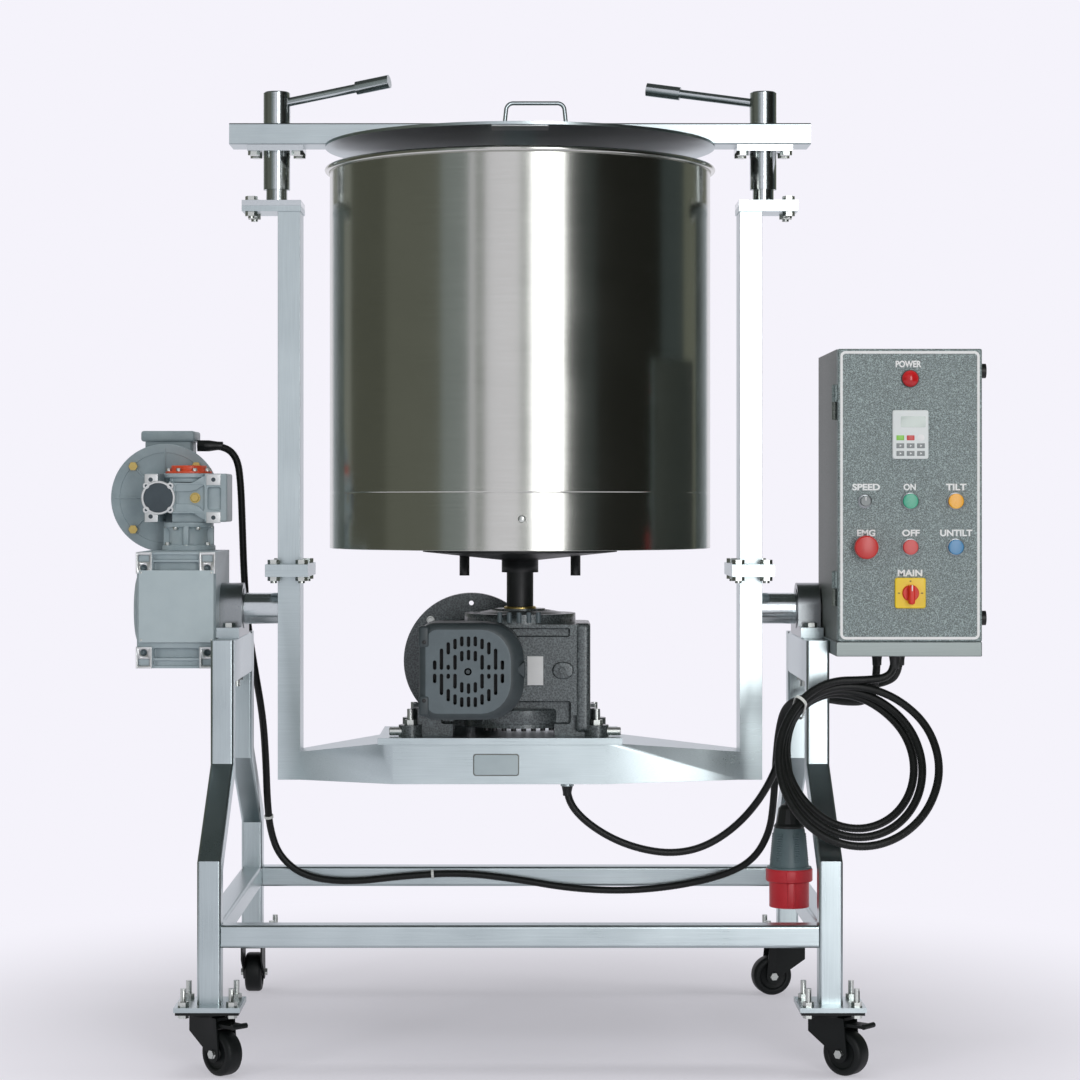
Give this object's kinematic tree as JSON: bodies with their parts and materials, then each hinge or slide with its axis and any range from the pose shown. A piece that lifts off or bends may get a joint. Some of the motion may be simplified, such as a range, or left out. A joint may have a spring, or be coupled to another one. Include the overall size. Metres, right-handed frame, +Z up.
{
  "type": "tilting chocolate grinder",
  "caption": "Floor-standing stainless drum grinder with granite rollers, hung in a motor-tilted yoke on a caster frame, with a side control panel.",
  "frame": {"origin": "middle of the footprint on the floor, under the middle of the box round all but the leads", "axes": "+X to the right as seen from the panel's front, +Y to the rear, +Z up"},
  "size_m": [1.5542, 0.8872, 1.7128],
  "materials": {
    "stainless": "brushed stainless steel",
    "polished_steel": "polished stainless steel",
    "zinc_bolt": "zinc plated",
    "cast_grey": "painted cast iron",
    "hammer_grey": "dark hammer finish paint",
    "gear_blue": "light blue-grey paint",
    "motor_grey": "satin grey paint",
    "black_cast": "black paint",
    "black_steel": "black oxide",
    "bronze": "cut bronze",
    "steel_dark": "ground steel",
    "granite": "honed dark granite",
    "panel_paint": "dark hammer finish powder coat",
    "black_plastic": "moulded",
    "cable_black": "corrugated sleeve",
    "plug_red": "moulded red and grey",
    "caster_black": "moulded",
    "motor_blue": "blue-grey paint",
    "knob_grey": "moulded",
    "button_blue": "moulded",
    "button_green": "moulded",
    "button_red": "moulded",
    "button_yellow": "moulded",
    "fitting_dark": "moulded"
  },
  "bodies": {
    "base": {"side_frame_left": "stainless", "side_frame_right": "stainless", "cross_rails": "stainless", "foot_plates": "stainless", "base_bolts": "zinc_bolt", "pillow_blocks": "cast_grey", "tilt_gearbox": "gear_blue", "tilt_primary_gearbox": "gear_blue", "tilt_motor": "motor_blue", "panel_bracket": "stainless", "panel_enclosure": "panel_paint", "panel_chassis": "fitting_dark", "cable_fittings": "black_plastic", "mains_lead": "cable_black", "mains_plug": "plug_red", "tilt_motor_lead": "cable_black", "main_motor_lead": "cable_black"},
    "yoke": {"yoke_cradle": "stainless", "yoke_posts": "stainless", "yoke_bolts": "zinc_bolt", "trunnions": "steel_dark", "main_gearbox": "hammer_grey", "main_motor": "motor_grey", "top_crossbar": "stainless", "clamp_posts": "polished_steel", "lid_rear": "stainless", "roller_carrier": "stainless"},
    "drum": {"drum_shell": "polished_steel", "base_stone": "granite", "drum_hub": "black_cast", "drive_shaft": "black_steel", "worm_wheel": "bronze"},
    "panel_door": {"panel_door": "panel_paint", "door_fittings": "fitting_dark"},
    "main_worm": {"main_worm": "steel_dark"},
    "tilt_worm": {"tilt_worm": "steel_dark"},
    "roller_left": {"roller_left": "granite"},
    "roller_right": {"roller_right": "granite"},
    "lid_flap": {"lid_flap": "stainless"},
    "clamp_lever_left": {"clamp_lever_left": "polished_steel"},
    "clamp_lever_right": {"clamp_lever_right": "polished_steel"},
    "door_latch_upper": {"door_latch_upper": "black_plastic"},
    "door_latch_lower": {"door_latch_lower": "black_plastic"},
    "start_button": {"start_button": "button_green"},
    "stop_button": {"stop_button": "button_red"},
    "tilt_button": {"tilt_button": "button_yellow"},
    "untilt_button": {"untilt_button": "button_blue"},
    "emergency_button": {"emergency_button": "button_red"},
    "speed_knob": {"speed_knob": "knob_grey"},
    "main_switch": {"main_switch": "button_red"},
    "caster_fork_front_left": {"caster_fork_front_left": "black_steel"},
    "caster_wheel_front_left": {"caster_wheel_front_left": "caster_black"},
    "brake_pedal_front_left": {"brake_pedal_front_left": "black_steel"},
    "caster_fork_front_right": {"caster_fork_front_right": "black_steel"},
    "caster_wheel_front_right": {"caster_wheel_front_right": "caster_black"},
    "brake_pedal_front_right": {"brake_pedal_front_right": "black_steel"},
    "caster_fork_rear_left": {"caster_fork_rear_left": "black_steel"},
    "caster_wheel_rear_left": {"caster_wheel_rear_left": "caster_black"},
    "caster_fork_rear_right": {"caster_fork_rear_right": "black_steel"},
    "caster_wheel_rear_right": {"caster_wheel_rear_right": "caster_black"}
  },
  "joints": [
    {"name": "tilt", "type": "hinge", "parent": "base", "child": "yoke", "pos_m": [-0.02015, -0.00092, 0.76], "axis": [1, 0, 0], "range_deg": [0, 100], "deforming": ["main_motor_lead"]},
    {"name": "drum_spin", "type": "hinge", "parent": "yoke", "child": "drum", "pos_m": [-0.02015, -0.00092, 0.975], "axis": [0, 0, 1], "continuous": true},
    {"name": "main_worm_spin", "type": "hinge", "parent": "yoke", "child": "main_worm", "pos_m": [-0.11015, -0.00092, 0.658], "axis": [0, 1, 0], "continuous": true},
    {"name": "roller_left_spin", "type": "hinge", "parent": "yoke", "child": "roller_left", "pos_m": [-0.02015, -0.00092, 1.1753], "axis": [1, 0, 0], "continuous": true},
    {"name": "roller_right_spin", "type": "hinge", "parent": "yoke", "child": "roller_right", "pos_m": [-0.02015, -0.00092, 1.1753], "axis": [1, 0, 0], "continuous": true},
    {"name": "tilt_worm_spin", "type": "hinge", "parent": "base", "child": "tilt_worm", "pos_m": [-0.62715, 0.08908, 0.76], "axis": [0, 0, 1], "range_deg": [0, 3000]},
    {"name": "lid_open", "type": "hinge", "parent": "yoke", "child": "lid_flap", "pos_m": [-0.02015, -0.19592, 1.595], "axis": [-1, 0, 0], "range_deg": [0, 110]},
    {"name": "clamp_left", "type": "hinge", "parent": "yoke", "child": "clamp_lever_left", "pos_m": [-0.45815, -0.00092, 1.629], "axis": [0, 0, 1], "range_deg": [-60, 90]},
    {"name": "clamp_right", "type": "hinge", "parent": "yoke", "child": "clamp_lever_right", "pos_m": [0.41785, -0.00092, 1.629], "axis": [0, 0, 1], "range_deg": [-60, 90]},
    {"name": "swivel_front_left", "type": "hinge", "parent": "base", "child": "caster_fork_front_left", "pos_m": [-0.53715, -0.37591, 0.1], "axis": [0, 0, 1], "continuous": true},
    {"name": "roll_front_left", "type": "hinge", "parent": "caster_fork_front_left", "child": "caster_wheel_front_left", "pos_m": [-0.51452, -0.39854, 0.0375], "axis": [0.7071, 0.7071, 0], "continuous": true},
    {"name": "brake_front_left", "type": "hinge", "parent": "caster_fork_front_left", "child": "brake_pedal_front_left", "pos_m": [-0.51594, -0.39713, 0.084], "axis": [0.7071, 0.7071, 0], "range_deg": [0, 14]},
    {"name": "swivel_front_right", "type": "hinge", "parent": "base", "child": "caster_fork_front_right", "pos_m": [0.49685, -0.37591, 0.1], "axis": [0, 0, 1], "continuous": true},
    {"name": "roll_front_right", "type": "hinge", "parent": "caster_fork_front_right", "child": "caster_wheel_front_right", "pos_m": [0.52136, -0.39648, 0.0375], "axis": [0.6428, 0.766, 0], "continuous": true},
    {"name": "brake_front_right", "type": "hinge", "parent": "caster_fork_front_right", "child": "brake_pedal_front_right", "pos_m": [0.51983, -0.3952, 0.084], "axis": [0.6428, 0.766, 0], "range_deg": [0, 14]},
    {"name": "swivel_rear_left", "type": "hinge", "parent": "base", "child": "caster_fork_rear_left", "pos_m": [-0.53715, 0.37409, 0.1], "axis": [0, 0, 1], "continuous": true},
    {"name": "roll_rear_left", "type": "hinge", "parent": "caster_fork_rear_left", "child": "caster_wheel_rear_left", "pos_m": [-0.53715, 0.40608, 0.0375], "axis": [-1, 0, 0], "continuous": true},
    {"name": "swivel_rear_right", "type": "hinge", "parent": "base", "child": "caster_fork_rear_right", "pos_m": [0.49685, 0.37409, 0.1], "axis": [0, 0, 1], "continuous": true},
    {"name": "roll_rear_right", "type": "hinge", "parent": "caster_fork_rear_right", "child": "caster_wheel_rear_right", "pos_m": [0.46534, 0.36853, 0.0375], "axis": [0.1736, -0.9848, 0], "continuous": true},
    {"name": "panel_door_swing", "type": "hinge", "parent": "base", "child": "panel_door", "pos_m": [0.51585, -0.27092, 0.714], "axis": [0, 0, -1], "range_deg": [0, 110]},
    {"name": "door_latch_lower_turn", "type": "hinge", "parent": "base", "child": "door_latch_lower", "pos_m": [0.76485, -0.25091, 0.753], "axis": [1, 0, 0], "range_deg": [0, 90]},
    {"name": "door_latch_upper_turn", "type": "hinge", "parent": "base", "child": "door_latch_upper", "pos_m": [0.76485, -0.25091, 1.176], "axis": [1, 0, 0], "range_deg": [0, 90]},
    {"name": "start_button_press", "type": "slide", "parent": "panel_door", "child": "start_button", "axis": [0, 1, 0], "range_m": [0, 0.004], "stiffness_N_per_m": 600},
    {"name": "tilt_button_press", "type": "slide", "parent": "panel_door", "child": "tilt_button", "axis": [0, 1, 0], "range_m": [0, 0.004], "stiffness_N_per_m": 600},
    {"name": "stop_button_press", "type": "slide", "parent": "panel_door", "child": "stop_button", "axis": [0, 1, 0], "range_m": [0, 0.004], "stiffness_N_per_m": 600},
    {"name": "untilt_button_press", "type": "slide", "parent": "panel_door", "child": "untilt_button", "axis": [0, 1, 0], "range_m": [0, 0.004], "stiffness_N_per_m": 600},
    {"name": "emergency_button_press", "type": "slide", "parent": "panel_door", "child": "emergency_button", "axis": [0, 1, 0], "range_m": [0, 0.006]},
    {"name": "speed_knob_turn", "type": "hinge", "parent": "panel_door", "child": "speed_knob", "pos_m": [0.56535, -0.29091, 0.953], "axis": [0, 1, 0], "range_deg": [0, 270]},
    {"name": "main_switch_turn", "type": "hinge", "parent": "panel_door", "child": "main_switch", "pos_m": [0.64235, -0.29091, 0.797], "axis": [0, 1, 0], "range_deg": [0, 90]}
  ],
  "couplings": [
    {"joint": "main_worm_spin", "follows": "drum_spin", "ratio": 15},
    {"joint": "roller_right_spin", "follows": "drum_spin", "ratio": 0.835},
    {"joint": "roller_left_spin", "follows": "drum_spin", "ratio": -0.835},
    {"joint": "tilt_worm_spin", "follows": "tilt", "ratio": 30}
  ]
}
